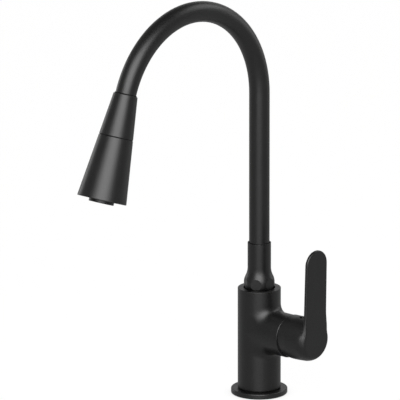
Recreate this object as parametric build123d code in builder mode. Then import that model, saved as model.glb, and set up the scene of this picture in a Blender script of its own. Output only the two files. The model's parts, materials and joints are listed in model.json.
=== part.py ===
from build123d import *
import math
import os

os.makedirs("parts", exist_ok=True)

# ---------------------------------------------------------------------------
# Driving dimensions, millimetres. Origin: centre of the flange's underside on
# the deck. +Z up, the spout reaches towards -Y, the lever is on the +X side.
# ---------------------------------------------------------------------------
FLANGE_R = 29.0          # round flange
FLANGE_H = 5.5
SPIGOT_R = 20.5          # foot of the body inside the flange
BARREL_Z = 6.5           # lower end of the barrel, a narrow gap above the flange
FOOT_SEAL_R = 20.95      # rubber ring in that gap
FOOT_Z = 0.5             # underside of the body, just clear of the deck
BODY_R = 22.12           # upright barrel
BODY_TOP = 112.0
HOSE_BORE_R = 8.0        # way for the hose through the body

AXIS_Z = 68.2            # height of the cartridge and lever axis (along X)
HOUSING_R = 22.1         # side housing
HOUSING_END = 44.2       # end face of the housing
JUNCTION_FILLET = 12.0
SEAT_X = 16.5            # seat of the cartridge base
CART_R = 17.6            # cartridge bore
NUT_THREAD_R = 19.4      # thread for the cartridge nut and dome cap
PIVOT_X = 34.0           # lever pivot
DOME_R = 24.37           # ball about the pivot
CAP_RIM_R = 21.5         # round rim of the dome cap, seen in the gap behind the handle
DOME_GAP = 0.6           # gap between ball and handle skirt

PORT_R = 4.5             # tapped M10 x 1 ports in the underside
PORT_DEPTH = 12.0
INLET_X, INLET_Y = 10.0, 10.4
OUTLET_X = 14.0
STUD_R = 3.4             # tapped M8 holes for the fixing studs
STUD_X, STUD_Y = -11.5, 9.0
STUD_DEPTH = 15.0

RECESS_R = 16.4          # recess in the body's top round the ball
RECESS_Z = 108.0
NUT_SPIGOT_R = 14.0      # threaded foot of the spout nut
NUT_FOOT_Z = 95.0
BALL_R = 15.8            # ball of the spout nut
BALL_Z = 117.5
FLAT_APOTHEM = 14.6      # six round wrench flats, 29.2 across
FLAT_R = 5.8
COLLAR_R = 12.0
COLLAR_TOP = 159.7
COLLAR_MOUTH_R = 11.5    # open ring round the tube at the collar's top
BLEND_R = 20.0           # hollow between collar and ball

TUBE_R = 10.5            # gooseneck, 21 outside
TUBE_IN_R = 9.25
TUBE_FOOT_Z = 88.0
ARC_Z = 316.5            # height of the bend's centre
ARC_R = 100.0
ARC_DEG = 161.05         # how far the bend turns

CONE_TOP_R = 12.2        # cone at the spout's end: docking collar and head
CONE_SLOPE = 0.12
SEAM_T = 42.8            # parting line along the head's axis
SEAM_GAP = 0.62
DOCK_RING_T = 0.57       # rubber ring between collar and head
CONE_END_T = 107.0
NOZZLE_T = 110.1
NOZZLE_R = 12.7
TUBE_END_T = 18.0        # tube inside the docking collar

HOSE_R = 6.75            # braided hose
HOSE_IN_R = 4.2

FRONT_X = 78.65           # front face of the paddle on the lever axis
PADDLE_T = 4.0
PADDLE_LEAN = 1.3        # degrees, blade leans outwards
PADDLE_R = 21.3          # lower round of the paddle
PADDLE_LOW_Z = 1.5       # its centre above the base's centre
PADDLE_WAIST = 15.5     # half width where the blade starts
PADDLE_TIP_R = 15.0
PADDLE_TOP = 97.15        # top of the blade above the base's centre
STEM = 8.0               # square spindle
SCREW_X = 59.5           # M5 set screw on top of the handle's base
SCREW_R = 2.5
SCREW_HOLE_R = 2.8

# ---------------------------------------------------------------------------
# Shared planes and axes
# ---------------------------------------------------------------------------
SIDE = Plane.XZ.offset(0)                       # profile plane, (x, z)
LEVER = Plane(origin=(0, 0, AXIS_Z), x_dir=(1, 0, 0), z_dir=(0, -1, 0))
LEVER_AXIS = Axis((0, 0, AXIS_Z), (1, 0, 0))


def across(x):
    """Plane square to the lever axis at x; local x is Y, local y is Z."""
    return Plane(origin=(x, 0, AXIS_Z), x_dir=(0, 1, 0), z_dir=(1, 0, 0))


A = math.radians(ARC_DEG)
HEAD_O = (0.0, -ARC_R * (1 - math.cos(A)), ARC_Z + ARC_R * math.sin(A))
HEAD_T = (0.0, -math.sin(A), math.cos(A))
HEAD_E = (0.0, math.cos(A), math.sin(A))        # outwards, square to the axis
HEAD = Plane(origin=HEAD_O, x_dir=HEAD_E, z_dir=(1, 0, 0))
HEAD_AXIS = Axis(HEAD_O, HEAD_T)


def along(t):
    return tuple(HEAD_O[i] + t * HEAD_T[i] for i in range(3))


def head_plane(t):
    """Plane square to the head's axis, t along it."""
    return Plane(origin=along(t), x_dir=(1, 0, 0), z_dir=HEAD_T)


def cone_r(t):
    return CONE_TOP_R + CONE_SLOPE * t


# ---------------------------------------------------------------------------
# Base
# ---------------------------------------------------------------------------
with BuildPart() as base_flange:
    with BuildSketch(SIDE):
        with BuildLine():
            Polyline(
                (SPIGOT_R + 0.05, 0), (23.5, 0), (23.5, 2.0), (27.0, 2.0), (27.0, 0),
                (FLANGE_R, 0), (FLANGE_R, FLANGE_H), (SPIGOT_R + 0.05, FLANGE_H), close=True,
            )
        make_face()
    revolve(axis=Axis.Z)
    rim = base_flange.edges().filter_by(GeomType.CIRCLE).filter_by(
        lambda e: abs(e.radius - FLANGE_R) < 0.01)
    fillet(rim.sort_by(Axis.Z)[-1], radius=1.0)
    low = base_flange.edges().filter_by(GeomType.CIRCLE).filter_by(
        lambda e: abs(e.radius - FLANGE_R) < 0.01).sort_by(Axis.Z)[0]
    fillet(low, radius=1.2)
base_flange.part.label = "base_flange"
export_step(base_flange.part, "parts/base_flange.step")

with BuildPart() as base_gasket:
    with BuildSketch(SIDE):
        with BuildLine():
            Polyline((23.5, 0), (27.0, 0), (27.0, 2.0), (23.5, 2.0), close=True)
        make_face()
    revolve(axis=Axis.Z)
base_gasket.part.label = "base_gasket"
export_step(base_gasket.part, "parts/base_gasket.step")

# rubber ring that seals the barrel's foot on the flange
with BuildPart() as foot_seal:
    with BuildSketch(SIDE):
        with BuildLine():
            Polyline((SPIGOT_R, FLANGE_H), (FOOT_SEAL_R, FLANGE_H), (FOOT_SEAL_R, BARREL_Z),
                     (SPIGOT_R, BARREL_Z), close=True)
        make_face()
    revolve(axis=Axis.Z)
foot_seal.part.label = "foot_seal"
export_step(foot_seal.part, "parts/foot_seal.step")

# Body casting: barrel, side housing with a soft junction, water ways
with BuildPart() as body:
    with BuildSketch(Plane.XY.offset(BARREL_Z)):
        Circle(BODY_R)
    extrude(amount=BODY_TOP - BARREL_Z)
    with BuildSketch(across(0)):
        Circle(HOUSING_R)
    extrude(amount=HOUSING_END)
    junction = [e for e in body.edges() if e.geom_type not in (GeomType.LINE, GeomType.CIRCLE)]
    fillet(junction, radius=JUNCTION_FILLET)
    # round the barrel's two ends
    ends = body.edges().filter_by(GeomType.CIRCLE).filter_by(
        lambda e: abs(e.radius - BODY_R) < 0.01 and (abs(e.center().Z - BODY_TOP) < 0.01
                                                     or abs(e.center().Z - BARREL_Z) < 0.01))
    fillet(ends, radius=0.5)
    # foot inside the flange
    with BuildSketch(Plane.XY.offset(FOOT_Z)):
        Circle(SPIGOT_R)
    extrude(amount=BARREL_Z - FOOT_Z + 1.0)
    # round the edge of the housing's end
    end = body.edges().filter_by(GeomType.CIRCLE).filter_by(
        lambda e: abs(e.radius - HOUSING_R) < 0.01 and abs(e.center().X - HOUSING_END) < 0.01)
    fillet(end, radius=0.7)
    # cartridge bore and the wider thread in front of it
    with BuildSketch(LEVER):
        with BuildLine():
            Polyline((SEAT_X, 0), (SEAT_X, CART_R), (36.5, CART_R), (36.5, NUT_THREAD_R),
                     (60, NUT_THREAD_R), (60, 0), close=True)
        make_face()
    revolve(axis=LEVER_AXIS, mode=Mode.SUBTRACT)
    # top recess, thread of the spout nut, seat of the spout, way for the hose
    with BuildSketch(SIDE):
        with BuildLine():
            Polyline((0, 120), (RECESS_R, 120), (RECESS_R, RECESS_Z), (NUT_SPIGOT_R, RECESS_Z),
                     (NUT_SPIGOT_R, 92), (12.1, 92), (12.1, 84), (HOSE_BORE_R, 82), (HOSE_BORE_R, -5),
                     (0, -5), close=True)
        make_face()
    revolve(axis=Axis.Z, mode=Mode.SUBTRACT)
    # tapped ports in the underside: hot and cold inlets, mixed outlet
    with BuildSketch(Plane.XY.offset(FOOT_Z)):
        with Locations((INLET_X, INLET_Y), (INLET_X, -INLET_Y), (OUTLET_X, 0)):
            Circle(PORT_R)
    extrude(amount=PORT_DEPTH, mode=Mode.SUBTRACT)
    with BuildSketch(Plane.XY.offset(FOOT_Z)):
        with Locations((STUD_X, STUD_Y), (STUD_X, -STUD_Y)):
            Circle(STUD_R)
    extrude(amount=STUD_DEPTH, mode=Mode.SUBTRACT)
    # water ways from the ports up to the cartridge seat
    with BuildSketch(Plane.XY.offset(FOOT_Z + 1)):
        with Locations((INLET_X, INLET_Y), (INLET_X, -INLET_Y)):
            Circle(2.9)
    extrude(amount=AXIS_Z - 5 - FOOT_Z + 1, mode=Mode.SUBTRACT)
    with BuildSketch(Plane.XY.offset(FOOT_Z + 1)):
        with Locations((12.6, 0)):
            Circle(2.4)
    extrude(amount=AXIS_Z - 8.5 - FOOT_Z + 1, mode=Mode.SUBTRACT)
    with BuildSketch(across(INLET_X)):
        with Locations((9.2, -5), (-9.2, -5)):
            Circle(2.6)
    extrude(amount=SEAT_X - INLET_X + 0.5, mode=Mode.SUBTRACT)
    with BuildSketch(across(12.6)):
        with Locations((0, -8.5)):
            Circle(2.2)
    extrude(amount=SEAT_X - 12.6 + 0.5, mode=Mode.SUBTRACT)
body.part.label = "body"
export_step(body.part, "parts/body.step")

# ---------------------------------------------------------------------------
# Mixing cartridge, all turned about the lever axis
# ---------------------------------------------------------------------------
PORTS = ((9.2, -5.0), (-9.2, -5.0), (0.0, -8.5))

with BuildPart() as cartridge_base:
    with BuildSketch(across(SEAT_X)):
        Circle(CART_R - 0.1)
        with Locations(*PORTS):
            Circle(2.0, mode=Mode.SUBTRACT)
    extrude(amount=3.0)
    with BuildSketch(across(SEAT_X)):
        with Locations(*PORTS):
            Circle(3.4)
    extrude(amount=1.2, mode=Mode.SUBTRACT)
cartridge_base.part.label = "cartridge_base"
export_step(cartridge_base.part, "parts/cartridge_base.step")

with BuildPart() as port_seals:
    with BuildSketch(across(SEAT_X)):
        with Locations(*PORTS):
            Circle(3.4)
        with Locations(*PORTS):
            Circle(2.2, mode=Mode.SUBTRACT)
    extrude(amount=1.2)
port_seals.part.label = "port_seals"
export_step(port_seals.part, "parts/port_seals.step")

with BuildPart() as fixed_disc:
    with BuildSketch(across(19.5)):
        Circle(15.4)
        with Locations((8.0, -4.4), (-8.0, -4.4)):
            SlotOverall(6.0, 3.6, rotation=60, mode=Mode.SUBTRACT)
        with Locations((0, -8.0)):
            Circle(2.0, mode=Mode.SUBTRACT)
    extrude(amount=3.3)
fixed_disc.part.label = "fixed_disc"
export_step(fixed_disc.part, "parts/fixed_disc.step")

with BuildPart() as moving_disc:
    with BuildSketch(across(22.85)):
        Circle(12.2)
    extrude(amount=2.95)
    # mixing hollow in the face that slides on the fixed disc
    with BuildSketch(across(22.85)):
        SlotOverall(15.0, 9.0, rotation=90)
    extrude(amount=1.4, mode=Mode.SUBTRACT)
moving_disc.part.label = "moving_disc"
export_step(moving_disc.part, "parts/moving_disc.step")

with BuildPart() as disc_driver:
    with BuildSketch(across(25.8)):
        Circle(12.0)
    extrude(amount=3.2)
    # slot for the stem's finger
    with BuildSketch(across(25.8)):
        Rectangle(6.8, 4.8)
    extrude(amount=3.2, mode=Mode.SUBTRACT)
    # guide ways for the carrier's two lugs
    with BuildSketch(across(26.6)):
        with Locations((8.0, 0), (-8.0, 0)):
            Rectangle(3.6, 15.4)
    extrude(amount=2.4, mode=Mode.SUBTRACT)
disc_driver.part.label = "disc_driver"
export_step(disc_driver.part, "parts/disc_driver.step")

with BuildPart() as cartridge_casing:
    with BuildSketch(LEVER):
        with BuildLine():
            Polyline((19.5, 15.5), (19.5, 17.5), (36.5, 17.5), (36.5, 13.0), (43.4, 13.0),
                     (43.4, 10.58), (32.4, 10.58), (32.4, 15.5), close=True)
        make_face()
    revolve(axis=LEVER_AXIS)
cartridge_casing.part.label = "cartridge_casing"
export_step(cartridge_casing.part, "parts/cartridge_casing.step")

with BuildPart() as carrier:
    with BuildSketch(LEVER):
        with BuildLine():
            Polyline((29.3, 0), (29.3, 15.2), (32.1, 15.2), (32.1, 10.5), (43.0, 10.5), (43.0, 0),
                     close=True)
        make_face()
    revolve(axis=LEVER_AXIS)
    # window for the stem
    with BuildSketch(across(29.0)):
        Rectangle(8.4, 17.2)
    extrude(amount=15.0, mode=Mode.SUBTRACT)
    # lugs that turn the disc
    with BuildSketch(across(27.2)):
        with Locations((8.0, 0), (-8.0, 0)):
            Rectangle(2.8, 9.6)
    extrude(amount=2.6)
    # cross hole for the pivot pin
    with BuildSketch(Plane(origin=(PIVOT_X, -12, AXIS_Z), x_dir=(1, 0, 0), z_dir=(0, 1, 0))):
        Circle(1.5)
    extrude(amount=24.0, mode=Mode.SUBTRACT)
carrier.part.label = "carrier"
export_step(carrier.part, "parts/carrier.step")

with BuildPart() as pivot_pin:
    with BuildSketch(Plane(origin=(PIVOT_X, -10.0, AXIS_Z), x_dir=(1, 0, 0), z_dir=(0, 1, 0))):
        Circle(1.5)
    extrude(amount=20.0)
    chamfer(pivot_pin.edges().filter_by(GeomType.CIRCLE), length=0.3)
pivot_pin.part.label = "pivot_pin"
export_step(pivot_pin.part, "parts/pivot_pin.step")

with BuildPart() as lever_stem:
    # square spindle
    with BuildSketch(across(36.5)):
        Rectangle(STEM, STEM)
    extrude(amount=66.0 - 36.5)
    chamfer(lever_stem.faces().sort_by(Axis.X)[-1].edges(), length=0.8)
    # eye round the pivot pin
    with BuildSketch(Plane(origin=(PIVOT_X, -STEM / 2, AXIS_Z), x_dir=(1, 0, 0), z_dir=(0, 1, 0))):
        Circle(4.2)
        with Locations((1.5, 0)):
            Rectangle(3.0, STEM)
    extrude(amount=STEM)
    # finger that reaches down into the disc driver
    with BuildSketch(Plane(origin=(PIVOT_X, -3.0, AXIS_Z), x_dir=(1, 0, 0), z_dir=(0, 1, 0))):
        with Locations((-4.5, 0)):
            Rectangle(3.4, 3.0)
        with Locations((-6.2, 0)):
            Circle(1.8)
    extrude(amount=6.0)
    with BuildSketch(Plane(origin=(PIVOT_X, -12, AXIS_Z), x_dir=(1, 0, 0), z_dir=(0, 1, 0))):
        Circle(1.55)
    extrude(amount=24.0, mode=Mode.SUBTRACT)
lever_stem.part.label = "lever_stem"
export_step(lever_stem.part, "parts/lever_stem.step")

with BuildPart() as cartridge_nut:
    with BuildSketch(LEVER):
        with BuildLine():
            Polyline((36.5, 13.3), (36.5, NUT_THREAD_R), (41.6, NUT_THREAD_R), (41.6, 13.3), close=True)
        make_face()
    revolve(axis=LEVER_AXIS)
    # spanner slots
    with BuildSketch(across(39.6)):
        with PolarLocations(16.4, 4):
            Rectangle(3.2, 3.0)
    extrude(amount=2.5, mode=Mode.SUBTRACT)
cartridge_nut.part.label = "cartridge_nut"
export_step(cartridge_nut.part, "parts/cartridge_nut.step")

with BuildPart() as dome_cap:
    CAP_IN = DOME_R - 1.6
    OPEN_R = 14.5
    with BuildSketch(LEVER):
        with BuildLine():
            x_a = PIVOT_X + math.sqrt(DOME_R ** 2 - CAP_RIM_R ** 2)
            x_b = PIVOT_X + math.sqrt(DOME_R ** 2 - OPEN_R ** 2)
            x_c = PIVOT_X + math.sqrt(CAP_IN ** 2 - OPEN_R ** 2)
            x_d = PIVOT_X + math.sqrt(CAP_IN ** 2 - 17.4 ** 2)
            Line((42.0, 17.4), (42.0, NUT_THREAD_R))
            Polyline((42.0, NUT_THREAD_R), (HOUSING_END, NUT_THREAD_R), (HOUSING_END, CAP_RIM_R), (x_a, CAP_RIM_R))
            ThreePointArc((x_a, CAP_RIM_R),
                          (PIVOT_X + math.sqrt(DOME_R ** 2 - 17.0 ** 2), 17.0), (x_b, OPEN_R))
            Line((x_b, OPEN_R), (x_c, OPEN_R))
            ThreePointArc((x_c, OPEN_R),
                          (PIVOT_X + math.sqrt(CAP_IN ** 2 - 16.0 ** 2), 16.0), (x_d, 17.4))
            Line((x_d, 17.4), (42.0, 17.4))
        make_face()
    revolve(axis=LEVER_AXIS)
dome_cap.part.label = "dome_cap"
export_step(dome_cap.part, "parts/dome_cap.step")

# ---------------------------------------------------------------------------
# Handle: barrel-shaped base and upright paddle in one casting
# ---------------------------------------------------------------------------
SKIRT_R = DOME_R + DOME_GAP
RIM_X = 45.3
RIM_R = 22.35
LEAN = math.radians(PADDLE_LEAN)
# the casting leans on an axis of its own that crosses the lever axis at x = 70
CROSS_X = 70.0
H_DIR = (math.cos(LEAN), 0, -math.sin(LEAN))
H_O = (CROSS_X - CROSS_X * H_DIR[0], 0, AXIS_Z - CROSS_X * H_DIR[2])
H_PROFILE = Plane(origin=H_O, x_dir=H_DIR, z_dir=(0, -1, 0))
H_AXIS = Axis(H_O, H_DIR)
PADDLE = Plane(origin=(H_O[0] + FRONT_X * H_DIR[0], 0, H_O[2] + FRONT_X * H_DIR[2]), x_dir=(0, 1, 0), z_dir=H_DIR)
# outline of the paddle: lower round, hollow S-curve, slim blade, round tip
S_R = 100.0
TIP_C = PADDLE_TOP - PADDLE_TIP_R
S_CX = PADDLE_WAIST + S_R
S_CY = PADDLE_LOW_Z + math.sqrt((PADDLE_R + S_R) ** 2 - S_CX ** 2)
s_ang = math.atan2(S_CY - PADDLE_LOW_Z, S_CX)
taper = math.acos((S_R + PADDLE_TIP_R) / math.hypot(S_CX, TIP_C - S_CY)) - math.atan2(TIP_C - S_CY, S_CX)
p_tan = (PADDLE_R * math.cos(s_ang), PADDLE_LOW_Z + PADDLE_R * math.sin(s_ang))
p_mid = (S_CX - S_R * math.cos((s_ang + taper) / 2), S_CY - S_R * math.sin((s_ang + taper) / 2))
p_waist = (S_CX - S_R * math.cos(taper), S_CY - S_R * math.sin(taper))
p_tip = (PADDLE_TIP_R * math.cos(taper), TIP_C + PADDLE_TIP_R * math.sin(taper))
BASE_END_X = 76.4

with BuildPart() as handle:
    # paddle, edges rounded
    with BuildSketch(PADDLE):
        with BuildLine():
            ThreePointArc((-p_tan[0], p_tan[1]), (0, PADDLE_LOW_Z - PADDLE_R), p_tan)
            ThreePointArc(p_tan, p_mid, p_waist)
            Line(p_waist, p_tip)
            ThreePointArc(p_tip, (0, PADDLE_TOP), (-p_tip[0], p_tip[1]))
            Line((-p_tip[0], p_tip[1]), (-p_waist[0], p_waist[1]))
            ThreePointArc((-p_waist[0], p_waist[1]), (-p_mid[0], p_mid[1]), (-p_tan[0], p_tan[1]))
        make_face()
    extrude(amount=-PADDLE_T)
    front_edges = handle.faces().filter_by(GeomType.PLANE).sort_by(Axis.X)[-1].edges()
    fillet(front_edges, radius=1.6)
    back_edges = handle.faces().filter_by(GeomType.PLANE).sort_by(Axis.X)[0].edges()
    fillet(back_edges, radius=1.4)
    # base, a slightly barrelled cup
    with BuildSketch(H_PROFILE):
        with BuildLine():
            Line((RIM_X, 0), (RIM_X, RIM_R))
            Spline((RIM_X, RIM_R), (52.0, 22.5), (60.0, 22.3), (68.0, 21.7), (73.0, 20.6))
            Polyline((73.0, 20.6), (BASE_END_X, 17.4), (BASE_END_X, 0), (RIM_X, 0))
        make_face()
    revolve(axis=H_AXIS)
    # ball-shaped hollow that runs over the dome cap
    with BuildSketch(LEVER):
        with BuildLine():
            Line((PIVOT_X, 0), (PIVOT_X, SKIRT_R))
            ThreePointArc((PIVOT_X, SKIRT_R),
                          (PIVOT_X + SKIRT_R * math.sin(0.8), SKIRT_R * math.cos(0.8)),
                          (PIVOT_X + SKIRT_R, 0))
            Line((PIVOT_X + SKIRT_R, 0), (PIVOT_X, 0))
        make_face()
    revolve(axis=LEVER_AXIS, mode=Mode.SUBTRACT)
    # hollow round the boss
    with BuildSketch(across(50.0)):
        Circle(16.2)
        Circle(9.0, mode=Mode.SUBTRACT)
    extrude(amount=72.5 - 50.0, mode=Mode.SUBTRACT)
    # square socket for the stem
    with BuildSketch(across(50.0)):
        Rectangle(STEM + 0.1, STEM + 0.1)
    extrude(amount=66.6 - 50.0, mode=Mode.SUBTRACT)
    # set screw: tapped in the boss, reached through the skirt
    with BuildSketch(Plane.XY.offset(AXIS_Z + 2.0)):
        with Locations((SCREW_X, 0)):
            Circle(SCREW_R)
    extrude(amount=10.0, mode=Mode.SUBTRACT)
    with BuildSketch(Plane.XY.offset(AXIS_Z + 11.0)):
        with Locations((SCREW_X, 0)):
            Circle(SCREW_HOLE_R)
    extrude(amount=14.0, mode=Mode.SUBTRACT)
handle.part.label = "handle"
export_step(handle.part, "parts/handle.step")

with BuildPart() as set_screw:
    with BuildSketch(Plane.XY.offset(AXIS_Z + STEM / 2 + 0.05)):
        with Locations((SCREW_X, 0)):
            Circle(SCREW_R)
    extrude(amount=8.0)
    top = set_screw.faces().sort_by(Axis.Z)[-1]
    with BuildSketch(Plane.XY.offset(AXIS_Z + STEM / 2 + 8.05)):
        with Locations((SCREW_X, 0)):
            RegularPolygon(1.45, 6)
    extrude(amount=-3.0, mode=Mode.SUBTRACT)
set_screw.part.label = "set_screw"
export_step(set_screw.part, "parts/set_screw.step")

# ---------------------------------------------------------------------------
# Spout: nut with ball and wrench flats, bushes, gooseneck
# ---------------------------------------------------------------------------
with BuildPart() as spout_nut:
    blend_z = BALL_Z + math.sqrt((BALL_R + BLEND_R) ** 2 - (COLLAR_R + BLEND_R) ** 2)
    k = BALL_R / (BALL_R + BLEND_R)
    tang = ((COLLAR_R + BLEND_R) * k, BALL_Z + (blend_z - BALL_Z) * k)
    a_mid = (math.pi + math.pi + math.atan2(blend_z - BALL_Z, COLLAR_R + BLEND_R)) / 2
    mid = (COLLAR_R + BLEND_R + BLEND_R * math.cos(a_mid), blend_z + BLEND_R * math.sin(a_mid))
    z_low = BALL_Z - math.sqrt(BALL_R ** 2 - NUT_SPIGOT_R ** 2)
    with BuildSketch(SIDE):
        with BuildLine():
            Polyline((COLLAR_MOUTH_R, COLLAR_TOP), (COLLAR_R, COLLAR_TOP), (COLLAR_R, blend_z))
            ThreePointArc((COLLAR_R, blend_z), mid, tang)
            ThreePointArc(tang, (BALL_R, BALL_Z), (NUT_SPIGOT_R, z_low))
            Polyline((NUT_SPIGOT_R, z_low), (NUT_SPIGOT_R, NUT_FOOT_Z), (12.3, NUT_FOOT_Z),
                     (12.3, 122.0), (10.8, 122.0), (10.8, COLLAR_TOP - 5.0),
                     (COLLAR_MOUTH_R, COLLAR_TOP - 5.0), (COLLAR_MOUTH_R, COLLAR_TOP))
        make_face()
    revolve(axis=Axis.Z)
    lip = spout_nut.edges().filter_by(GeomType.CIRCLE).filter_by(
        lambda e: abs(e.radius - COLLAR_R) < 0.01 and abs(e.center().Z - COLLAR_TOP) < 0.01)
    fillet(lip, radius=0.22)
    # six round wrench flats, spot-faced into the ball
    for i in range(6):
        c, s = math.cos(math.radians(60 * i)), math.sin(math.radians(60 * i))
        with BuildSketch(Plane(origin=(FLAT_APOTHEM * c, FLAT_APOTHEM * s, BALL_Z), x_dir=(-s, c, 0), z_dir=(c, s, 0))):
            Circle(FLAT_R)
        extrude(amount=5.0, mode=Mode.SUBTRACT)
spout_nut.part.label = "spout_nut"
export_step(spout_nut.part, "parts/spout_nut.step")

with BuildPart() as swivel_bush:
    with BuildSketch(SIDE):
        with BuildLine():
            Polyline((TUBE_R + 0.06, 95.0), (12.3, 95.0), (12.3, 122.0), (TUBE_R + 0.06, 122.0), close=True)
        make_face()
    revolve(axis=Axis.Z)
swivel_bush.part.label = "swivel_bush"
export_step(swivel_bush.part, "parts/swivel_bush.step")

with BuildPart() as seat_bush:
    with BuildSketch(SIDE):
        with BuildLine():
            Polyline((8.4, 84.0), (12.1, 84.0), (12.1, 91.8), (TUBE_R + 0.06, 91.8),
                     (TUBE_R + 0.06, TUBE_FOOT_Z - 0.1), (8.4, TUBE_FOOT_Z - 0.1), close=True)
        make_face()
    revolve(axis=Axis.Z)
seat_bush.part.label = "seat_bush"
export_step(seat_bush.part, "parts/seat_bush.step")

with BuildPart() as split_ring:
    with BuildSketch(Plane.XY.offset(92.6)):
        Circle(13.0)
        Circle(TUBE_R - 0.6, mode=Mode.SUBTRACT)
        with Locations((0, 12)):
            Rectangle(9.0, 10.0, mode=Mode.SUBTRACT)
    extrude(amount=1.6)
split_ring.part.label = "split_ring"
export_step(split_ring.part, "parts/split_ring.step")

with BuildPart() as spout_tube:
    with BuildLine() as route:
        Line((0, 0, TUBE_FOOT_Z), (0, 0, ARC_Z))
        ThreePointArc((0, 0, ARC_Z),
                      (0, -ARC_R * (1 - math.cos(A / 2)), ARC_Z + ARC_R * math.sin(A / 2)), HEAD_O)
        Line(HEAD_O, along(TUBE_END_T))
    with BuildSketch(Plane.XY.offset(TUBE_FOOT_Z)):
        Circle(TUBE_R)
        Circle(TUBE_IN_R, mode=Mode.SUBTRACT)
    sweep()
    # groove for the split ring
    with BuildSketch(SIDE):
        with BuildLine():
            Polyline((TUBE_R - 0.6, 92.6), (TUBE_R + 1, 92.6), (TUBE_R + 1, 94.2), (TUBE_R - 0.6, 94.2),
                     close=True)
        make_face()
    revolve(axis=Axis.Z, mode=Mode.SUBTRACT)
spout_tube.part.label = "spout_tube"
export_step(spout_tube.part, "parts/spout_tube.step")
tube_len = (ARC_Z - TUBE_FOOT_Z) + ARC_R * A + TUBE_END_T
print("spout tube volume", round(spout_tube.part.volume), "section x length",
      round(math.pi * (TUBE_R ** 2 - TUBE_IN_R ** 2) * tube_len))

# ---------------------------------------------------------------------------
# Hose, whole along its way from the foot of the body to the head
# ---------------------------------------------------------------------------
HOSE_FOOT_Z = 6.0
HOSE_END_T = 34.0
with BuildPart() as hose:
    with BuildLine() as hose_route:
        Line((0, 0, HOSE_FOOT_Z), (0, 0, ARC_Z))
        ThreePointArc((0, 0, ARC_Z),
                      (0, -ARC_R * (1 - math.cos(A / 2)), ARC_Z + ARC_R * math.sin(A / 2)), HEAD_O)
        Line(HEAD_O, along(HOSE_END_T))
    with BuildSketch(Plane.XY.offset(HOSE_FOOT_Z)):
        Circle(HOSE_R)
        Circle(HOSE_IN_R, mode=Mode.SUBTRACT)
    sweep()
hose.part.label = "hose"
export_step(hose.part, "parts/hose.step")
hose_len = (ARC_Z - HOSE_FOOT_Z) + ARC_R * A + HOSE_END_T
print("hose length", round(hose_len, 1), "volume", round(hose.part.volume), "section x length",
      round(math.pi * (HOSE_R ** 2 - HOSE_IN_R ** 2) * hose_len))

with BuildPart() as hose_inlet_fitting:
    with BuildSketch(SIDE):
        with BuildLine():
            Polyline((2.8, 0.8), (5.6, 0.8), (5.6, 4.0), (7.5, 4.0), (7.5, 24.0), (HOSE_R, 24.0),
                     (HOSE_R, HOSE_FOOT_Z), (HOSE_IN_R, HOSE_FOOT_Z), (HOSE_IN_R, 26.0), (2.8, 26.0),
                     close=True)
        make_face()
    revolve(axis=Axis.Z)
hose_inlet_fitting.part.label = "hose_inlet_fitting"
export_step(hose_inlet_fitting.part, "parts/hose_inlet_fitting.step")

with BuildPart() as hose_ferrule:
    with BuildSketch(HEAD):
        with BuildLine():
            Polyline((HOSE_R, 14.0), (7.6, 14.0), (7.8, 15.0), (7.8, 35.6), (5.2, 35.6), (5.2, HOSE_END_T),
                     (HOSE_R, HOSE_END_T), close=True)
        make_face()
    revolve(axis=HEAD_AXIS)
hose_ferrule.part.label = "hose_ferrule"
export_step(hose_ferrule.part, "parts/hose_ferrule.step")

with BuildPart() as hose_nipple:
    with BuildSketch(HEAD):
        with BuildLine():
            Polyline((2.8, 14.0), (HOSE_IN_R, 14.0), (HOSE_IN_R, HOSE_END_T), (5.2, HOSE_END_T),
                     (5.2, 43.5), (6.6, 43.5), (6.6, 47.2), (2.8, 47.2), close=True)
        make_face()
    revolve(axis=HEAD_AXIS)
hose_nipple.part.label = "hose_nipple"
export_step(hose_nipple.part, "parts/hose_nipple.step")

# ---------------------------------------------------------------------------
# Docking collar on the spout's end
# ---------------------------------------------------------------------------
with BuildPart() as docking_collar:
    with BuildSketch(HEAD):
        with BuildLine():
            Polyline((TUBE_R + 0.35, 0), (CONE_TOP_R, 0), (cone_r(SEAM_T), SEAM_T), (12.4, SEAM_T),
                     (12.4, 20.5), (9.3, 20.5), (9.3, TUBE_END_T), (TUBE_R, TUBE_END_T), (TUBE_R, 2.5),
                     (TUBE_R + 0.35, 2.5), close=True)
        make_face()
    revolve(axis=HEAD_AXIS)
    rims = docking_collar.edges().filter_by(GeomType.CIRCLE)
    fillet([e for e in rims if abs(e.radius - CONE_TOP_R) < 0.01], radius=0.45)
    fillet([e for e in docking_collar.edges().filter_by(GeomType.CIRCLE)
            if abs(e.radius - cone_r(SEAM_T)) < 0.01], radius=0.3)
docking_collar.part.label = "docking_collar"
export_step(docking_collar.part, "parts/docking_collar.step")

# rubber ring round the tube in the collar's mouth
with BuildPart() as tube_seal:
    with BuildSketch(HEAD):
        with BuildLine():
            Polyline((TUBE_R, -1.0), (TUBE_R + 0.5, -1.0), (TUBE_R + 0.65, -0.8), (TUBE_R + 0.65, 0), (TUBE_R + 0.35, 0),
                     (TUBE_R + 0.35, 2.5), (TUBE_R, 2.5), close=True)
        make_face()
    revolve(axis=HEAD_AXIS)
tube_seal.part.label = "tube_seal"
export_step(tube_seal.part, "parts/tube_seal.step")

# rubber ring on the collar's lower face that the head docks against
with BuildPart() as docking_gasket:
    with BuildSketch(HEAD):
        with BuildLine():
            Polyline((12.4, SEAM_T), (cone_r(SEAM_T) - 0.55, SEAM_T), (cone_r(SEAM_T) - 0.55, SEAM_T + DOCK_RING_T),
                     (12.4, SEAM_T + DOCK_RING_T), close=True)
        make_face()
    revolve(axis=HEAD_AXIS)
docking_gasket.part.label = "docking_gasket"
export_step(docking_gasket.part, "parts/docking_gasket.step")

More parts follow.
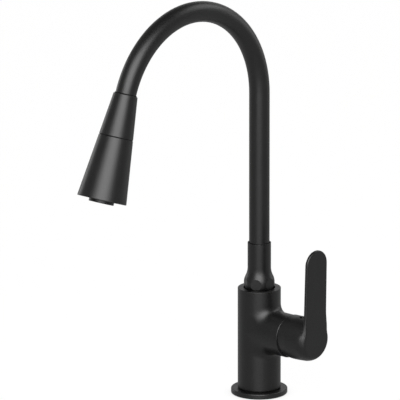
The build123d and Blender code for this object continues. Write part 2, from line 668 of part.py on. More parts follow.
with BuildPart() as docking_insert:
    with BuildSketch(HEAD):
        with BuildLine():
            Polyline((10.25, 20.5), (12.4, 20.5), (12.4, SEAM_T - 0.6), (11.2, SEAM_T - 0.6), (10.25, 38.0),
                     close=True)
        make_face()
    revolve(axis=HEAD_AXIS)
docking_insert.part.label = "docking_insert"
export_step(docking_insert.part, "parts/docking_insert.step")

# ---------------------------------------------------------------------------
# Spray head
# ---------------------------------------------------------------------------
HEAD_TOP = SEAM_T + SEAM_GAP
with BuildPart() as head_shell:
    with BuildSketch(HEAD):
        with BuildLine():
            Polyline((10.0, HEAD_TOP), (cone_r(HEAD_TOP), HEAD_TOP), (cone_r(CONE_END_T), CONE_END_T),
                     (cone_r(CONE_END_T) - 1.6, CONE_END_T), (cone_r(CONE_END_T) - 2.2, CONE_END_T - 3.0),
                     (cone_r(HEAD_TOP + 2.2) - 2.2, HEAD_TOP + 2.2), (10.0, HEAD_TOP + 2.2), close=True)
        make_face()
    revolve(axis=HEAD_AXIS)
    fillet([e for e in head_shell.edges().filter_by(GeomType.CIRCLE)
            if abs(e.radius - cone_r(HEAD_TOP)) < 0.01], radius=0.3)
    fillet([e for e in head_shell.edges().filter_by(GeomType.CIRCLE)
            if abs(e.radius - cone_r(CONE_END_T)) < 0.01], radius=0.6)
head_shell.part.label = "head_shell"
export_step(head_shell.part, "parts/head_shell.step")

CORE_FLANGE_T = HEAD_TOP + 2.2
with BuildPart() as head_core:
    with BuildSketch(HEAD):
        with BuildLine():
            Polyline((8.8, 36.5), (9.9, 36.5), (9.9, CORE_FLANGE_T), (14.0, CORE_FLANGE_T), (14.0, 49.5),
                     (11.2, 49.5), (11.2, 84.0), (15.5, 89.0), (15.5, 103.6), (12.0, 103.6), (12.0, 91.0),
                     (4.0, 91.0), (4.0, 62.5), (5.6, 62.5), (5.6, 50.0), (8.8, 50.0), close=True)
        make_face()
    revolve(axis=HEAD_AXIS)
head_core.part.label = "head_core"
export_step(head_core.part, "parts/head_core.step")

with BuildPart() as hose_nut:
    with BuildSketch(HEAD):
        with BuildLine():
            Polyline((5.6, 36.5), (8.8, 36.5), (8.8, 47.0), (7.0, 47.0), (7.0, 43.0), (5.6, 43.0), close=True)
        make_face()
    revolve(axis=HEAD_AXIS)
hose_nut.part.label = "hose_nut"
export_step(hose_nut.part, "parts/hose_nut.step")

with BuildPart() as filter_washer:
    with BuildSketch(HEAD):
        with BuildLine():
            Polyline((3.2, 47.6), (8.2, 47.6), (8.2, 49.9), (3.2, 49.9), close=True)
        make_face()
    revolve(axis=HEAD_AXIS)
filter_washer.part.label = "filter_washer"
export_step(filter_washer.part, "parts/filter_washer.step")

# rubber duckbill that lets water through one way only
with BuildPart() as check_valve:
    with BuildSketch(HEAD):
        with BuildLine():
            Polyline((3.0, 50.2), (5.5, 50.2), (5.5, 53.0), (4.6, 53.0), (1.6, 61.5), (0.5, 61.5), (3.0, 53.4),
                     close=True)
        make_face()
    revolve(axis=HEAD_AXIS)
check_valve.part.label = "check_valve"
export_step(check_valve.part, "parts/check_valve.step")

with BuildPart() as face_ring:
    with BuildSketch(HEAD):
        with BuildLine():
            r_out = cone_r(CONE_END_T) - 2.3
            Polyline((NOZZLE_R + 0.5, 103.6), (r_out - 0.3, 103.6), (r_out, 104.6), (r_out, 106.0),
                     (NOZZLE_R + 0.5, 106.0), close=True)
        make_face()
    revolve(axis=HEAD_AXIS)
face_ring.part.label = "face_ring"
export_step(face_ring.part, "parts/face_ring.step")

with BuildPart() as aerator_housing:
    with BuildSketch(HEAD):
        with BuildLine():
            Polyline((10.2, 93.0), (11.95, 93.0), (11.95, 103.7), (NOZZLE_R, 104.2), (NOZZLE_R, NOZZLE_T),
                     (10.2, NOZZLE_T), close=True)
        make_face()
    revolve(axis=HEAD_AXIS)
    fillet([e for e in aerator_housing.edges().filter_by(GeomType.CIRCLE)
            if abs(e.radius - NOZZLE_R) < 0.01 and
            abs((e.center() - Vector(*HEAD_O)).dot(Vector(*HEAD_T)) - NOZZLE_T) < 0.05], radius=0.6)
aerator_housing.part.label = "aerator_housing"
export_step(aerator_housing.part, "parts/aerator_housing.step")

with BuildPart() as aerator_gasket:
    with BuildSketch(HEAD):
        with BuildLine():
            Polyline((5.0, 91.0), (11.9, 91.0), (11.9, 93.0), (5.0, 93.0), close=True)
        make_face()
    revolve(axis=HEAD_AXIS)
aerator_gasket.part.label = "aerator_gasket"
export_step(aerator_gasket.part, "parts/aerator_gasket.step")

STRAIGHTENER = [(2.6 * (i + 0.5 * (j % 2)), 2.6 * 0.866 * j) for i in range(-4, 5) for j in range(-4, 5)
                if math.hypot(2.6 * (i + 0.5 * (j % 2)), 2.6 * 0.866 * j) < 8.6]
with BuildPart() as aerator_insert:
    with BuildSketch(HEAD):
        with BuildLine():
            Polyline((0, 93.0), (10.15, 93.0), (10.15, 108.8), (0, 108.8), close=True)
        make_face()
    revolve(axis=HEAD_AXIS)
    # straight holes of the flow straightener, in a honeycomb
    with BuildSketch(head_plane(92.5)):
        with Locations(*STRAIGHTENER):
            Circle(0.9)
    extrude(amount=17.5, mode=Mode.SUBTRACT)
aerator_insert.part.label = "aerator_insert"
export_step(aerator_insert.part, "parts/aerator_insert.step")
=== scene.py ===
"""Pull-down kitchen faucet in satin black: finishes, modelled pieces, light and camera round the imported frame."""

import json
import math

import bmesh
import bpy
import numpy as np
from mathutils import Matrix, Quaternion, Vector


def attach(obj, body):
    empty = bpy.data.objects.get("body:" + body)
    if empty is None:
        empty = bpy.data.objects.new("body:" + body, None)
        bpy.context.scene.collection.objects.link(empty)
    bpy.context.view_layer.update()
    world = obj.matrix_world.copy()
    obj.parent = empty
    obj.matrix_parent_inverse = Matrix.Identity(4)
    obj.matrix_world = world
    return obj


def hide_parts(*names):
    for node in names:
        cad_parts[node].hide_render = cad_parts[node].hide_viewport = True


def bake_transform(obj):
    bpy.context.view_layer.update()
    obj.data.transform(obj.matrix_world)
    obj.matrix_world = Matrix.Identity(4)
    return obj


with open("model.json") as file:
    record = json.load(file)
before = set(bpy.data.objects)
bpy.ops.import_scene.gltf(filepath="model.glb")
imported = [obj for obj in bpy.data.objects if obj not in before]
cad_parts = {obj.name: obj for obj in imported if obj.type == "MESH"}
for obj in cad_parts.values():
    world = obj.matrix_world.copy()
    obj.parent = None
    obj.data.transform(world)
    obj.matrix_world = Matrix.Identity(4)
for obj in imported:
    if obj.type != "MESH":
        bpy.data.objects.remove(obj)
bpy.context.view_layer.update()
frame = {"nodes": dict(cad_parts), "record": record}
nodes = frame["nodes"]


# ---------------------------------------------------------------------------
# Finishes
# ---------------------------------------------------------------------------
def finish(name):
    """A new node material: returns (material, node tree, principled shader)."""
    m = bpy.data.materials.new(name)
    m.use_nodes = True
    t = m.node_tree
    return m, t, t.nodes["Principled BSDF"]


def noise(t, scale, detail=2.0, rough=0.5, vector=None):
    n = t.nodes.new("ShaderNodeTexNoise")
    n.inputs["Scale"].default_value = scale
    n.inputs["Detail"].default_value = detail
    n.inputs["Roughness"].default_value = rough
    if vector is None:
        vector = t.nodes.new("ShaderNodeTexCoord").outputs["Object"]
    t.links.new(vector, n.inputs["Vector"])
    return n.outputs["Fac"]


def ramp(t, fac, low, high, start=0.3, stop=0.7):
    """Noise value to a range of numbers."""
    r = t.nodes.new("ShaderNodeMapRange")
    r.inputs["From Min"].default_value = start
    r.inputs["From Max"].default_value = stop
    r.inputs["To Min"].default_value = low
    r.inputs["To Max"].default_value = high
    t.links.new(fac, r.inputs["Value"])
    return r.outputs["Result"]


def tint(t, fac, a, b):
    """Noise value to a colour between a and b."""
    r = t.nodes.new("ShaderNodeValToRGB")
    r.color_ramp.elements[0].position = 0.35
    r.color_ramp.elements[1].position = 0.65
    r.color_ramp.elements[0].color = (*a, 1)
    r.color_ramp.elements[1].color = (*b, 1)
    t.links.new(fac, r.inputs["Fac"])
    return r.outputs["Color"]


def bump(t, height, strength, distance, normal=None):
    b = t.nodes.new("ShaderNodeBump")
    b.inputs["Strength"].default_value = strength
    b.inputs["Distance"].default_value = distance
    t.links.new(height, b.inputs["Height"])
    if normal is not None:
        t.links.new(normal, b.inputs["Normal"])
    return b.outputs["Normal"]


def coated(name, dark, light, rough, grain, strength):
    """Satin lacquer over metal: fine orange peel and a little clouding."""
    m, t, p = finish(name)
    fine = noise(t, grain, 2.0, 0.55)
    cloud = noise(t, 55.0, 3.0, 0.5)
    t.links.new(tint(t, cloud, dark, light), p.inputs["Base Color"])
    t.links.new(ramp(t, fine, rough - 0.03, rough + 0.03), p.inputs["Roughness"])
    t.links.new(bump(t, fine, strength, 0.00012), p.inputs["Normal"])
    p.inputs["IOR"].default_value = 1.5
    return m


def moulded(name, dark, light, rough, metallic=0.0, grain=700.0, strength=0.12):
    """Moulded plastic or rubber, or machined metal, with a fine surface grain."""
    m, t, p = finish(name)
    fine = noise(t, grain, 3.0, 0.6)
    broad = noise(t, 90.0, 2.0, 0.5)
    t.links.new(tint(t, broad, dark, light), p.inputs["Base Color"])
    t.links.new(ramp(t, fine, rough - 0.06, rough + 0.06), p.inputs["Roughness"])
    t.links.new(bump(t, fine, strength, 0.0001), p.inputs["Normal"])
    p.inputs["Metallic"].default_value = metallic
    return m


BLACK = coated("satin_black", (0.0026,) * 3, (0.0036,) * 3, 0.37, 1500.0, 0.08)
# painted shade: the foot, tube and docking seals get a near-black, almost unreflective rubber so the narrow gaps they
# sit in read as dark shadow lines
PAINTED_SHADE_SEAL = moulded("seal_rubber_painted_shade", (0.004,) * 3, (0.006,) * 3, 0.85, grain=900.0)
PAINTED_SHADE_SEAL.node_tree.nodes["Principled BSDF"].inputs["Specular IOR Level"].default_value = 0.12
# painted shade: the dome cap, seen through the seam at the handle's rim, is made near-black and almost unreflective
# so the seam reads as a shadow gap
CAP_PLASTIC_PAINTED_SHADE = moulded("cap_plastic_painted_shade", (0.007,) * 3, (0.010,) * 3, 0.7)
CAP_PLASTIC_PAINTED_SHADE.node_tree.nodes["Principled BSDF"].inputs["Specular IOR Level"].default_value = 0.05
RUBBER = moulded("seal_rubber", (0.012,) * 3, (0.018,) * 3, 0.75, grain=900.0)
BLACK_PLASTIC = moulded("black_plastic", (0.014,) * 3, (0.02,) * 3, 0.5)
GREY_PLASTIC = moulded("grey_plastic", (0.22, 0.225, 0.23), (0.27, 0.275, 0.28), 0.45)
CERAMIC = moulded("ceramic", (0.78, 0.77, 0.74), (0.84, 0.83, 0.80), 0.22, strength=0.03)
BRASS = moulded("brass", (0.60, 0.42, 0.18), (0.70, 0.50, 0.24), 0.32, 1.0, 420.0, 0.08)
STEEL = moulded("steel", (0.48, 0.48, 0.47), (0.58, 0.58, 0.57), 0.30, 1.0, 420.0, 0.06)
SCREW_STEEL = moulded("screw_steel", (0.05, 0.05, 0.052), (0.09, 0.09, 0.093), 0.42, 1.0, 700.0, 0.1)
HOSE = moulded("hose_braid", (0.02,) * 3, (0.05,) * 3, 0.5)

BY_SLOT = {
    "black": BLACK, "seal_rubber": RUBBER, "black_plastic": BLACK_PLASTIC, "grey_plastic": GREY_PLASTIC,
    "ceramic": CERAMIC, "brass": BRASS, "steel": STEEL, "screw_steel": SCREW_STEEL, "hose_braid": HOSE,
}
# the seals and the dome cap take the finishes darkened above as painted shade
BY_NODE = {"foot_seal": PAINTED_SHADE_SEAL, "tube_seal": PAINTED_SHADE_SEAL, "docking_gasket": PAINTED_SHADE_SEAL, "dome_cap": CAP_PLASTIC_PAINTED_SHADE}
for part in frame["record"]["subparts"]:
    for s in nodes[part["node"]].material_slots:
        s.material = BY_NODE.get(part["node"], BY_SLOT[part["material_slot"]])

# ---------------------------------------------------------------------------
# Shapes given by a distance field, in millimetres
# ---------------------------------------------------------------------------
def step(v, a, b):
    t = np.clip((v - a) / (b - a), 0.0, 1.0)
    return t * t * (3 - 2 * t)


def soft_min(a, b, k):
    """The smaller of two distances, with a fillet of about k where they meet."""
    k = np.maximum(k, 1e-6)
    h = np.clip(1 - np.abs(a - b) / k, 0.0, 1.0)
    return np.minimum(a, b) - h * h * k / 4


def soft_max(a, b, k):
    return -soft_min(-a, -b, k)


def spline_table(points, cell=0.05):
    """A smooth curve through (x, y) points as a dense table."""
    x, y = np.array(points, float).T
    slope = np.gradient(y, x)
    xs = np.arange(x[0], x[-1] + cell, cell)
    i = np.clip(np.searchsorted(x, xs) - 1, 0, len(x) - 2)
    h = x[i + 1] - x[i]
    t = np.clip((xs - x[i]) / h, 0, 1)
    ys = ((1 + 2 * t) * (1 - t) ** 2 * y[i] + t * (1 - t) ** 2 * h * slope[i]
          + t * t * (3 - 2 * t) * y[i + 1] + t * t * (t - 1) * h * slope[i + 1])
    return xs, ys


def field_mesh(field, low, high, cell):
    """Vertices and quads of the surface where field is 0, drawn onto it so that it is smooth."""
    axes = [np.arange(l, h + cell, cell) for l, h in zip(low, high)]
    n = [len(a) for a in axes]
    d = np.empty(n)
    yy, zz = np.meshgrid(axes[1], axes[2], indexing="ij")
    for i, x in enumerate(axes[0]):
        d[i] = field(np.stack([np.full_like(yy, x), yy, zz], -1))
    inside = d < 0
    corners = [(i, j, k) for i in (0, 1) for j in (0, 1) for k in (0, 1)]
    c = [n[0] - 1, n[1] - 1, n[2] - 1]
    count = sum(inside[i:i + c[0], j:j + c[1], k:k + c[2]].astype(np.int8) for i, j, k in corners)
    cells = np.argwhere((count > 0) & (count < 8))
    index = np.full(c, -1, np.int64)
    index[tuple(cells.T)] = np.arange(len(cells))
    value = np.stack([d[cells[:, 0] + i, cells[:, 1] + j, cells[:, 2] + k] for i, j, k in corners], 1)
    total, hits = np.zeros((len(cells), 3)), np.zeros((len(cells), 1))
    for a in range(8):
        for b in range(a + 1, 8):
            pa, pb = np.array(corners[a], float), np.array(corners[b], float)
            if np.abs(pa - pb).sum() != 1:
                continue
            cross = (value[:, a] < 0) != (value[:, b] < 0)
            t = np.where(cross, value[:, a] / np.where(cross, value[:, a] - value[:, b], 1.0), 0.0)[:, None]
            total += np.where(cross[:, None], pa + t * (pb - pa), 0.0)
            hits += cross[:, None]
    points = np.array([a[0] for a in axes]) + cell * (cells + total / hits)
    quads = []
    for axis in range(3):
        u, v = (axis + 1) % 3, (axis + 2) % 3
        here = [slice(None)] * 3
        there = [slice(None)] * 3
        here[axis], there[axis] = slice(0, -1), slice(1, None)
        first, second = inside[tuple(here)], inside[tuple(there)]
        at = np.argwhere(first != second)
        at = at[(at[:, u] > 0) & (at[:, v] > 0) & (at[:, u] < n[u] - 1) & (at[:, v] < n[v] - 1)]
        ring = []
        for du, dv in ((-1, -1), (0, -1), (0, 0), (-1, 0)):
            cell_at = at.copy()
            cell_at[:, u] += du
            cell_at[:, v] += dv
            ring.append(index[tuple(cell_at.T)])
        q = np.stack(ring, 1)
        flip = ~first[tuple(at.T)]
        q[flip] = q[flip][:, ::-1]
        quads.append(q)
    for _ in range(4):
        e = 0.01
        here = field(points)
        grad = np.stack([(field(points + e * ax) - field(points - e * ax)) / (2 * e) for ax in np.eye(3)], 1)
        move = -here[:, None] * grad / np.maximum((grad ** 2).sum(1), 0.25)[:, None]
        points = points + np.clip(move, -0.4 * cell, 0.4 * cell)
    return points, np.concatenate(quads)


def mesh_piece(name, points, faces, material):
    """A smooth-shaded mesh object from row-frame points in metres."""
    data = bpy.data.meshes.new(name)
    data.from_pydata([tuple(v) for v in points], [], [tuple(int(i) for i in f) for f in faces])
    data.validate()
    data.polygons.foreach_set("use_smooth", [True] * len(data.polygons))
    data.materials.append(material)
    data.update()
    o = bpy.data.objects.new(name, data)
    bpy.context.scene.collection.objects.link(o)
    return o


# ---------------------------------------------------------------------------
# Handle: barrelled base and upright paddle flowing into each other
# ---------------------------------------------------------------------------
AXIS_Z, PIVOT_X, SKIRT_R = 68.2, 34.0, 24.37 + 0.6
LEAN = math.radians(1.3)
H_DIR = np.array((math.cos(LEAN), 0.0, -math.sin(LEAN)))
H_UP = np.array((math.sin(LEAN), 0.0, math.cos(LEAN)))
H_O = np.array((70.0, 0.0, AXIS_Z)) - 70.0 * H_DIR
FRONT_X, BACK_X = 78.65, 74.75
LOW_R, LOW_Z, WAIST, TIP_R, TOP, S_R = 21.25, 1.0, 15.5, 15.0, 97.15, 75.0
EDGE_ROUND, LOW_ROUND = 1.6, (5.3, 9.0)
RIM_X, BASE_UP = 45.3, 0.6
SCREW_X = 59.5
TIP_C = TOP - TIP_R
S_CX = WAIST + S_R
S_CY = LOW_Z + math.sqrt((LOW_R + S_R) ** 2 - S_CX ** 2)
S_ANG = math.atan2(S_CY - LOW_Z, S_CX)
TAPER = math.acos((S_R + TIP_R) / math.hypot(S_CX, TIP_C - S_CY)) - math.atan2(TIP_C - S_CY, S_CX)
P_TAN = (LOW_R * math.cos(S_ANG), LOW_Z + LOW_R * math.sin(S_ANG))
P_WAIST = (S_CX - S_R * math.cos(TAPER), S_CY - S_R * math.sin(TAPER))
P_TIP = (TIP_R * math.cos(TAPER), TIP_C + TIP_R * math.sin(TAPER))
BARREL = spline_table([(36, 22.35), (42, 22.35), (48.8, 22.37), (52, 22.5), (55, 22.62), (58, 22.5), (62, 22.25),
                       (66, 21.9), (70, 21.5), (73.5, 21.05), (79, 20.6), (84, 20.2)])


def paddle_outline(y, z):
    """Signed distance to the paddle's outline: lower round, hollow S-curve, slim blade, round tip."""
    y = np.abs(y)
    r = np.hypot(y, z - LOW_Z)
    low = np.where(np.arctan2(z - LOW_Z, y) <= S_ANG, np.abs(r - LOW_R), np.hypot(y - P_TAN[0], z - P_TAN[1]))
    vy, vz = S_CX - y, S_CY - z
    turn = np.arctan2(vz, vy)
    hollow = np.where((turn >= TAPER) & (turn <= S_ANG), np.abs(np.hypot(vy, vz) - S_R), 1e3)
    ly, lz = P_TIP[0] - P_WAIST[0], P_TIP[1] - P_WAIST[1]
    t = np.clip(((y - P_WAIST[0]) * ly + (z - P_WAIST[1]) * lz) / (ly * ly + lz * lz), 0, 1)
    side = np.hypot(y - P_WAIST[0] - t * ly, z - P_WAIST[1] - t * lz)
    tip = np.where(np.arctan2(z - TIP_C, y) >= TAPER, np.abs(np.hypot(y, z - TIP_C) - TIP_R), 1e3)
    half = np.where(
        z < P_TAN[1], np.sqrt(np.maximum(LOW_R ** 2 - (z - LOW_Z) ** 2, 0)),
        np.where(z < P_WAIST[1], S_CX - np.sqrt(np.maximum(S_R ** 2 - (S_CY - z) ** 2, 0)),
                 np.where(z < P_TIP[1], P_WAIST[0] + ly * (z - P_WAIST[1]) / lz,
                          np.sqrt(np.maximum(TIP_R ** 2 - (z - TIP_C) ** 2, 0)))))
    d = np.minimum(np.minimum(low, hollow), np.minimum(side, tip))
    return np.where((y < half) & (z > LOW_Z - LOW_R) & (z < TOP), -d, d)


def handle_field(p, level=None):
    """Distance to the handle in the casting's own frame: x along its axis, z up the blade.

    level is the height that sets the width of the front round, where it is not the point's own.
    """
    x, y, z = p[..., 0], p[..., 1], p[..., 2]
    gx = H_O[0] + x * H_DIR[0] + z * H_UP[0]
    gz = H_O[2] + x * H_DIR[2] + z * H_UP[2] - AXIS_Z
    profile = np.interp(gx, *BARREL)
    barrel = np.hypot(y, gz - BASE_UP) - profile
    flare = np.maximum(profile - LOW_R + 0.35, 0) * (1 - step(z, 9.0, 28.0))
    level = z if level is None else level
    low = 1 - step(level, 6.0, 24.0)
    ry = EDGE_ROUND + (LOW_ROUND[0] - EDGE_ROUND) * low
    rx = EDGE_ROUND + (LOW_ROUND[1] - EDGE_ROUND) * low
    shift = 0.6 * (1 - step(level, 13.5, 21.5)) + 0.3 * step(level, 5.0, 14.0) * (1 - step(level, 17.0, 25.0))
    a = (paddle_outline(y - shift, z) - flare) / ry + 1
    b = (x - FRONT_X) / rx + 1
    front = (np.minimum(np.maximum(a, b), 0) + np.hypot(np.maximum(a, 0), np.maximum(b, 0)) - 1) * ry
    back = soft_min(BACK_X - x, barrel, 2.6)
    d = soft_max(front, back, 0.8 + 0.9 * step(z, 12.0, 24.0) * step(x, 70.5, 73.5))
    # blunt rim; inside: ball hollow over the dome cap, hollow round the boss, square socket, set screw
    d = soft_max(d, RIM_X - gx, 0.35)
    d = np.maximum(d, SKIRT_R - np.sqrt((gx - PIVOT_X) ** 2 + y ** 2 + gz ** 2))
    q = np.hypot(y, gz)
    d = soft_max(d, -np.maximum(np.maximum(q - 16.2, 9.0 - q), gx - 72.5), 0.8)
    d = np.maximum(d, -np.maximum(np.maximum(np.abs(y), np.abs(gz)) - 4.05, gx - 66.6))
    screw = np.hypot(gx - SCREW_X, y)
    d = soft_max(d, -np.maximum(screw - 2.8, 9.5 - gz), 0.9)
    d = np.maximum(d, -np.maximum(screw - 2.5, 2.0 - gz))
    return d


points, quads = field_mesh(handle_field, (41.63, -24.27, -23.07), (80.0, 24.5, 99.0), 0.5)
local, axes = points, np.stack([H_DIR, np.array((0.0, 1.0, 0.0)), H_UP])
points = (H_O + local @ axes) / 1000.0
handle = mesh_piece("handle_casting", points, quads, BLACK)
# the front round tapers off up the blade's sides: shaded along its length there, as a plain round
grad = np.stack([handle_field(local + 0.05 * e, local[:, 2]) - handle_field(local - 0.05 * e, local[:, 2])
                 for e in np.eye(3)], -1)
plain = grad / np.linalg.norm(grad, axis=1, keepdims=True) @ axes
own = np.empty(len(points) * 3)
handle.data.vertex_normals.foreach_get("vector", own)
own = own.reshape(-1, 3)
share = step(local[:, 2], 3.0, 5.0) * (1 - step(local[:, 2], 27.0, 30.0)) * step(local[:, 0], 64.0, 67.0)
share = (share * step((plain * own).sum(1), 0.3, 0.6))[:, None]
mixed = own * (1 - share) + plain * share
handle.data.normals_split_custom_set_from_vertices([tuple(n) for n in mixed / np.linalg.norm(mixed, axis=1, keepdims=True)])
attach(handle, "lever")
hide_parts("handle")


# ---------------------------------------------------------------------------
# Body: the casting, with a blend at the side housing that is tight on top and wide in front
# ---------------------------------------------------------------------------
BODY_R, HOUSING_R = 22.12, 22.1


def body_field(p):
    """Distance to the upright barrel and the side housing, flowing into each other."""
    x, y, z = p[..., 0], p[..., 1], p[..., 2] - AXIS_Z
    barrel = np.hypot(x, y) - BODY_R
    housing = np.maximum(np.hypot(y, z) - HOUSING_R, -x)
    open_ = 1 - y * y / np.maximum(np.hypot(x, y) * np.hypot(y, z), 1e-6)       # 0 where both skins run alike
    return soft_min(barrel, housing, (6.3 + 12.5 * open_ * (1 - open_)) * step(open_, -0.05, 0.36) * step(x, -9.0, 5.0) + 1e-4)


def field_normal(field, p, e=0.01):
    grad = np.stack([(field(p + e * ax) - field(p - e * ax)) / (2 * e) for ax in np.eye(3)], -1)
    return grad, grad / np.maximum(np.linalg.norm(grad, axis=-1, keepdims=True), 1e-9)


def body_piece(node):
    """A copy of the casting whose outer skin round the housing is divided finely and drawn onto the field."""
    data = node.data.copy()
    data.name = "body_casting"
    corner = np.empty(len(data.loops) * 3)
    data.corner_normals.foreach_get("vector", corner)
    corner = corner.reshape(-1, 3)
    mesh = bmesh.new()
    mesh.from_mesh(data)
    kept = mesh.loops.layers.float_vector.new("kept")
    skin = mesh.faces.layers.int.new("skin")
    faces = list(mesh.faces)
    mid = np.array([f.calc_center_median() for f in faces]) * 1000
    far = np.array([max(v.co.x for v in f.verts) for f in faces]) * 1000
    height = np.array([(min(v.co.z for v in f.verts), max(v.co.z for v in f.verts)) for f in faces]) * 1000 - AXIS_Z
    facing = (field_normal(body_field, mid)[1] * np.array([f.normal for f in faces])).sum(1)
    outer = (far < 43.6) & (height[:, 1] > -36) & (height[:, 0] < 36) & (body_field(mid) > -3.5) & (facing > 0.5)
    for f, on in zip(faces, outer):
        f[skin] = int(on)
    for loop, n in zip((loop for f in faces for loop in f.loops), corner):
        loop[kept] = n
    for _ in range(8):
        long = {e for f in mesh.faces if f[skin] for e in f.edges if e.calc_length() > 0.0017}
        if not long:
            break
        bmesh.ops.subdivide_edges(mesh, edges=list(long), cuts=1)
        bmesh.ops.triangulate(mesh, faces=[f for f in mesh.faces if len(f.verts) > 3])
    verts = list({v for f in mesh.faces if f[skin] for v in f.verts})
    pts = np.array([v.co for v in verts]) * 1000
    for _ in range(6):
        grad, _n = field_normal(body_field, pts)
        pts = pts - body_field(pts)[:, None] * grad / np.maximum((grad ** 2).sum(1), 0.25)[:, None]
    for v, q in zip(verts, pts / 1000):
        v.co = q
    normals = dict(zip(verts, field_normal(body_field, pts)[1]))
    out = [normals[loop.vert] if f[skin] else loop[kept] for f in mesh.faces for loop in f.loops]
    for f in mesh.faces:
        f.smooth = True
    mesh.to_mesh(data)
    mesh.free()
    data.normals_split_custom_set([tuple(n) for n in out])
    o = bpy.data.objects.new("body_casting", data)
    bpy.context.scene.collection.objects.link(o)
    return o


body = body_piece(nodes["body"])
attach(body, "base")
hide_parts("body")

# ---------------------------------------------------------------------------
# Hose: the riser rides on the spout, the run below the bend lies along the spray head's axis
# ---------------------------------------------------------------------------
BEND_R, BEND_Z, BEND_END = 100.0, 316.5, math.radians(161.05)
HEAD_T = np.array((0.0, -math.sin(BEND_END), math.cos(BEND_END)))
HEAD_O = np.array((0.0, -BEND_R * (1 - math.cos(BEND_END)), BEND_Z + BEND_R * math.sin(BEND_END)))
HOSE_R, HOSE_BORE, HOSE_LOW, HOSE_END = 6.75, 4.2, 6.0, 34.0
DRAWN, PULL = 13.0, 220.0           # the first 13 mm of the run carry 233 mm of braid, packed for a 220 mm pull of the head
CARRIERS, PICK = 24, 2.0            # braid strands each way, length of one crossing


def ring_tube(name, centres, normals, profile, bore, material):
    """A closed tube: one ring of radii per centre, a plain bore, flat ends."""
    n, seg = profile.shape
    turn = np.linspace(0, 2 * math.pi, seg, endpoint=False)
    side = np.array((1.0, 0.0, 0.0))
    spoke = np.cos(turn)[None, :, None] * side + np.sin(turn)[None, :, None] * normals[:, None, :]
    outer = centres[:, None, :] + profile[:, :, None] * spoke
    ends = [0, n - 1]
    inner = centres[ends][:, None, :] + bore * spoke[ends] if n > 2 and np.allclose(normals, normals[0]) else \
        centres[:, None, :] + bore * spoke
    m = len(inner)
    k = np.arange(seg)
    k1 = (k + 1) % seg

    def band(low, high):
        return np.stack([low + k, high + k, high + k1, low + k1], 1)

    quads = [band(i * seg, (i + 1) * seg) for i in range(n - 1)]
    base = n * seg
    quads += [band(base + i * seg, base + (i + 1) * seg)[:, ::-1] for i in range(m - 1)]
    quads += [band(0, base)[:, ::-1], band((n - 1) * seg, base + (m - 1) * seg)]
    return mesh_piece(name, np.concatenate([outer.reshape(-1, 3), inner.reshape(-1, 3)]) / 1000.0,
                      np.concatenate(quads), material)


def braid(turn, s):
    """Height of a two-way braid: round strands that pass over and under each other."""
    u = turn / (2 * math.pi) * CARRIERS + s / PICK
    v = turn / (2 * math.pi) * CARRIERS - s / PICK
    over = np.where(np.floor(u) % 2 < 1, 1.0, -1.0), np.where(np.floor(v) % 2 < 1, 1.0, -1.0)
    strand = [np.sqrt(np.maximum(1 - (2 * (w - np.floor(w)) - 1) ** 2, 0)) for w in (u, v)]
    a = 0.20 * strand[0] + 0.13 * over[0] * np.sin(math.pi * v)
    b = 0.20 * strand[1] - 0.13 * over[1] * np.sin(math.pi * u)
    return np.maximum(a, b)


low = np.stack([np.zeros(60), np.zeros(60), np.linspace(HOSE_LOW, BEND_Z, 60)], 1)
bow = np.linspace(0, BEND_END, 60)[1:]
bend = np.stack([0 * bow, -BEND_R * (1 - np.cos(bow)), BEND_Z + BEND_R * np.sin(bow)], 1)
up = np.concatenate([np.tile((0.0, 1.0, 0.0), (60, 1)), np.stack([0 * bow, np.cos(bow), np.sin(bow)], 1)])
riser = ring_tube("hose_riser", np.concatenate([low, bend]), up, np.full((119, 48), HOSE_R - 0.05), HOSE_BORE, HOSE)
drawn = np.arange(0, DRAWN + PULL, 0.4)
table = np.linspace(0, DRAWN, 4001)
along = np.interp(drawn, table + PULL * step(table, 0.0, DRAWN), table)
seg = 168
around = np.linspace(0, 2 * math.pi, seg, endpoint=False)
profile = HOSE_R - 0.33 + braid(around[None, :], drawn[:, None])
tail = np.array((DRAWN, DRAWN + 0.01, HOSE_END))
profile = np.concatenate([profile, np.full((3, seg), HOSE_R - 0.05)])
along = np.concatenate([along, tail])
across = np.tile(np.array((0.0, math.cos(BEND_END), math.sin(BEND_END))), (len(along), 1))
run = ring_tube("hose_run", HEAD_O + along[:, None] * HEAD_T, across, profile, HOSE_BORE, HOSE)
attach(riser, "spout")
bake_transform(run)
for piece in (riser, run):
    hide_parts("hose")

# ---------------------------------------------------------------------------
# Floor, light, camera
# ---------------------------------------------------------------------------
scene = bpy.context.scene
scene.view_settings.view_transform = "Standard"
scene.view_settings.look = "None"

me = bpy.data.meshes.new("floor")
me.from_pydata([(-30, -30, 0), (30, -30, 0), (30, 30, 0), (-30, 30, 0)], [], [(0, 1, 2, 3)])
floor = bpy.data.objects.new("floor", me)
scene.collection.objects.link(floor)
m, t, p = finish("pale_floor")
p.inputs["Base Color"].default_value = (0.02, 0.02, 0.02, 1)
p.inputs["Roughness"].default_value = 1.0
p.inputs["Specular IOR Level"].default_value = 0.0
p.inputs["Emission Color"].default_value = (1, 1, 1, 1)
# painted contact shadow: the floor's glow is dimmed by ambient occlusion close to the faucet's foot
painted_contact_shadow = t.nodes.new("ShaderNodeAmbientOcclusion")
painted_contact_shadow.inputs["Distance"].default_value = 0.03
painted_contact_shadow.samples = 8
t.links.new(ramp(t, painted_contact_shadow.outputs["AO"], 0.80, 0.985, 0.35, 0.85), p.inputs["Emission Strength"])
me.materials.append(m)
floor.visible_diffuse = False
floor.visible_glossy = False
floor.visible_shadow = False

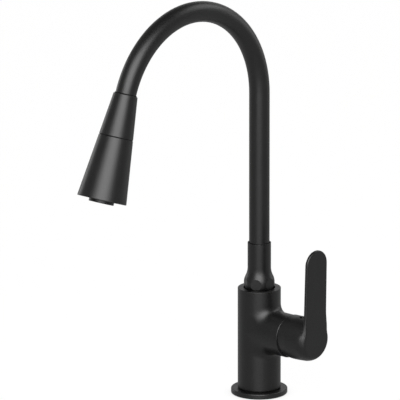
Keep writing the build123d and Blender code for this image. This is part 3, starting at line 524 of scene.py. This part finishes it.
world = bpy.data.worlds.new("studio")
scene.world = world
world.use_nodes = True
t = world.node_tree
bg = t.nodes["Background"]
bg.inputs["Color"].default_value = (1, 1, 1, 1)
bg.inputs["Strength"].default_value = 1.0
dim = t.nodes.new("ShaderNodeBackground")
dim.inputs["Color"].default_value = (1, 1, 1, 1)
coord = t.nodes.new("ShaderNodeTexCoord")
axes = t.nodes.new("ShaderNodeSeparateXYZ")
t.links.new(coord.outputs["Generated"], axes.inputs["Vector"])
t.links.new(ramp(t, axes.outputs["Z"], 0.44, 0.11, -0.25, 0.75), dim.inputs["Strength"])
path = t.nodes.new("ShaderNodeLightPath")
mix = t.nodes.new("ShaderNodeMixShader")
t.links.new(path.outputs["Is Camera Ray"], mix.inputs["Fac"])
t.links.new(dim.outputs["Background"], mix.inputs[1])
t.links.new(bg.outputs["Background"], mix.inputs[2])
t.links.new(mix.outputs["Shader"], t.nodes["World Output"].inputs["Surface"])


def softbox(name, azimuth, elevation, distance, width, height, radiance, aim=(0, -0.06, 0.2)):
    """A softbox that shines at aim from an azimuth (0 is from -Y, 90 from +X) and a height angle."""
    a, e = math.radians(azimuth), math.radians(elevation)
    back = Vector((math.sin(a) * math.cos(e), -math.cos(a) * math.cos(e), math.sin(e)))
    data = bpy.data.lights.new(name, "AREA")
    data.shape = "RECTANGLE"
    data.size, data.size_y = width, height
    data.energy = radiance * math.pi * width * height
    lamp = bpy.data.objects.new(name, data)
    scene.collection.objects.link(lamp)
    lamp.location = Vector(aim) + back * distance
    lamp.rotation_mode = "QUATERNION"
    lamp.rotation_quaternion = (-back).to_track_quat("-Z", "Y")
    lamp.visible_camera = False
    return lamp


softbox("key_wide", 41.0, 33.0, 2.0, 3.0, 2.4, 2.3)
softbox("key_core", 41.0, 33.5, 1.9, 1.5, 1.5, 3.1)
softbox("front_low", 41.0, -13.0, 2.0, 1.6, 0.7, 0.85)
softbox("rim_right", 161.0, 40.0, 2.0, 1.2, 1.2, 1.8)
softbox("rim_low", 163.0, 8.0, 2.0, 0.9, 0.7, 0.9)
softbox("fill_left", -58.0, 40.0, 2.0, 2.0, 1.6, 0.13)
softbox("rim_left", -88.0, 6.0, 2.0, 0.8, 0.8, 1.4)
softbox("backdrop", -137.0, 18.0, 2.0, 2.0, 1.2, 0.34)

ROLL = -0.0019
cam_data = bpy.data.cameras.new("camera")
cam_data.sensor_width = 36.0
cam_data.lens = 527.48
cam_data.clip_start = 0.1
cam_data.clip_end = 100.0
camera = bpy.data.objects.new("camera", cam_data)
scene.collection.objects.link(camera)
camera.location = (3.93775, -4.23585, 1.71698)
camera.rotation_mode = "QUATERNION"
look = Vector((-0.66608231, 0.70163391, -0.25306957)).to_track_quat("-Z", "Y")
camera.rotation_quaternion = look @ Quaternion((0, 0, 1), ROLL)
scene.camera = camera
